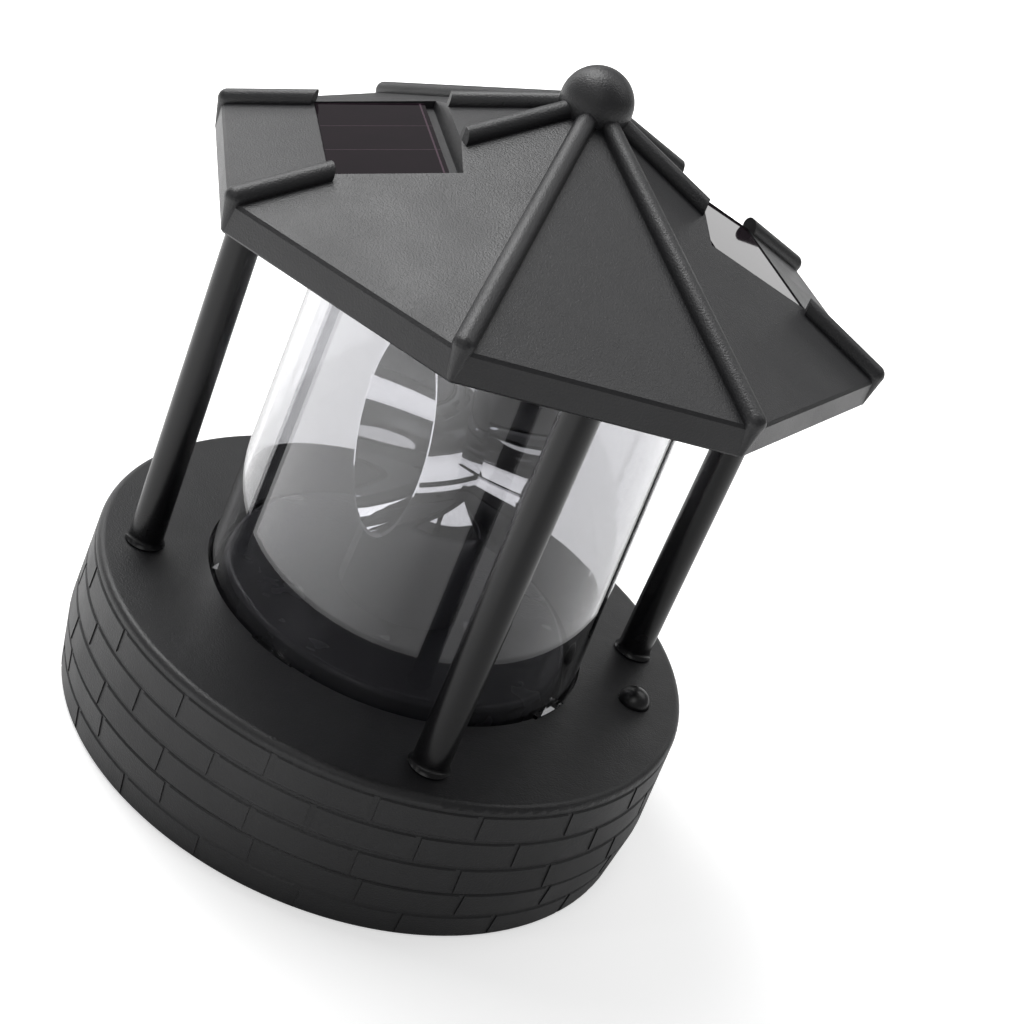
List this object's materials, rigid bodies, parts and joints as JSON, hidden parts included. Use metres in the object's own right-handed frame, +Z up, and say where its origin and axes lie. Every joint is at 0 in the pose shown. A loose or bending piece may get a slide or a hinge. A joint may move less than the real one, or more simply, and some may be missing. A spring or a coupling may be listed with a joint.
{
  "type": "garden lighthouse ornament lamp head",
  "caption": "Solar lighthouse lamp head: brick-patterned round base, slim columns, clear tube with a turning double reflector, and an octagonal ribbed roof with solar panels and ball finial.",
  "frame": {"origin": "centre of the base ring's underside, on the vertical axis of the lamp head", "axes": "+Z up along the axis of the lamp head, +X towards the right solar panel and the right column, -Y towards the front column"},
  "size_m": [0.1666, 0.1666, 0.1976],
  "materials": {
    "black_moulding": "fine-grained satin moulding",
    "black_roof": "fine-grained satin moulding",
    "gloss_black": "smooth gloss moulding",
    "clear_styrene": "clear polished moulding",
    "seal_rubber": "soft black rubber",
    "solar_glass": "dark cells under clear resin",
    "mirror_chrome": "vacuum-metallised mirror",
    "screw_steel": "zinc-plated steel",
    "button_rubber": "soft black rubber",
    "gear_acetal": "natural white acetal",
    "motor_can": "drawn steel can",
    "led_epoxy": "clear epoxy lens",
    "cell_sleeve": "plain printed sleeve",
    "spring_steel": "nickel-plated spring steel",
    "board_laminate": "green solder mask on laminate",
    "board_parts": "black epoxy packages",
    "switch_case": "black switch case"
  },
  "bodies": {
    "lamp_head": {"base_ring": "black_moulding", "base_shell": "black_moulding", "ring_screws": "screw_steel", "column_right": "black_moulding", "column_back": "black_moulding", "column_left": "black_moulding", "column_front": "black_moulding", "clear_tube": "clear_styrene", "tube_seal": "seal_rubber", "roof_ceiling": "black_moulding", "ceiling_screws": "screw_steel", "roof_shell": "black_roof", "finial_ball": "black_roof", "solar_panel_left": "solar_glass", "solar_panel_right": "solar_glass", "lamp_plate": "gloss_black", "lamp_housing": "black_moulding", "housing_screws": "screw_steel", "idler_pin": "screw_steel", "motor": "motor_can", "gear_tray": "black_moulding", "led_post": "gloss_black", "led": "led_epoxy", "battery": "cell_sleeve", "battery_contacts": "spring_steel", "battery_cover": "black_moulding", "cover_screw": "screw_steel", "circuit_board": "board_laminate", "board_parts": "board_parts", "board_screws": "screw_steel", "switch_body": "switch_case"},
    "reflector": {"pedestal": "gloss_black", "reflector_upper": "mirror_chrome", "reflector_lower": "mirror_chrome", "reflector_spindle": "gear_acetal", "spindle_gear": "gear_acetal"},
    "idler": {"idler_gear": "gear_acetal"},
    "pinion": {"motor_pinion": "gear_acetal"},
    "button": {"button_cap": "button_rubber"}
  },
  "joints": [
    {"name": "reflector_spin", "type": "hinge", "parent": "lamp_head", "child": "reflector", "pos_m": [0, 0, 0.0931], "axis": [0, 0, 1], "continuous": true},
    {"name": "idler_spin", "type": "hinge", "parent": "lamp_head", "child": "idler", "pos_m": [0.0092, 0.01593, 0.036], "axis": [0, 0, 1], "continuous": true},
    {"name": "pinion_spin", "type": "hinge", "parent": "lamp_head", "child": "pinion", "pos_m": [0.0172, 0.02979, 0.034], "axis": [0, 0, 1], "continuous": true},
    {"name": "button_press", "type": "slide", "parent": "lamp_head", "child": "button", "axis": [0, 0, -1], "range_m": [0, 0.0015], "stiffness_N_per_m": 600, "springref_m": -0.002}
  ],
  "couplings": [
    {"joint": "idler_spin", "follows": "reflector_spin", "ratio": -3.6},
    {"joint": "pinion_spin", "follows": "reflector_spin", "ratio": 10.8}
  ]
}
